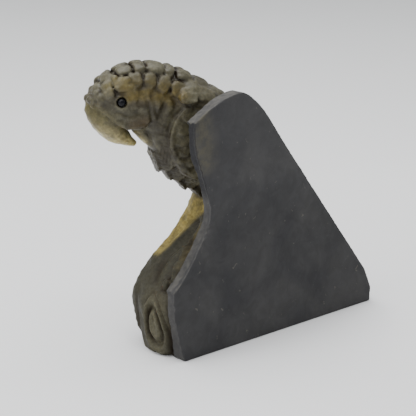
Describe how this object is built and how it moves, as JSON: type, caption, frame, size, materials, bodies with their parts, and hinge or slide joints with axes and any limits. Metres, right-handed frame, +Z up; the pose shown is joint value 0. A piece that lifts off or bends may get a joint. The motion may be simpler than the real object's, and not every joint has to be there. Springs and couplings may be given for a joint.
{
  "type": "carved stone parrot on a tree-trunk plinth",
  "caption": "Small stone carving of a parrot leaning from a tree-trunk plinth, with a flat sawn back and a flat foot to stand on.",
  "frame": {"origin": "middle of the slab's foot, on the flat underside", "axes": "+Z up, +X towards the side the bird looks out of, +Y out of the sawn back"},
  "size_m": [0.11, 0.0407, 0.1014],
  "materials": {
    "labradorite": "polished olive-grey stone, matte dark crust on the sawn back",
    "eye_bead": "polished black bead"
  },
  "bodies": {
    "root": {"carving": "labradorite", "eye_left": "eye_bead", "eye_right": "eye_bead"}
  },
  "joints": []
}
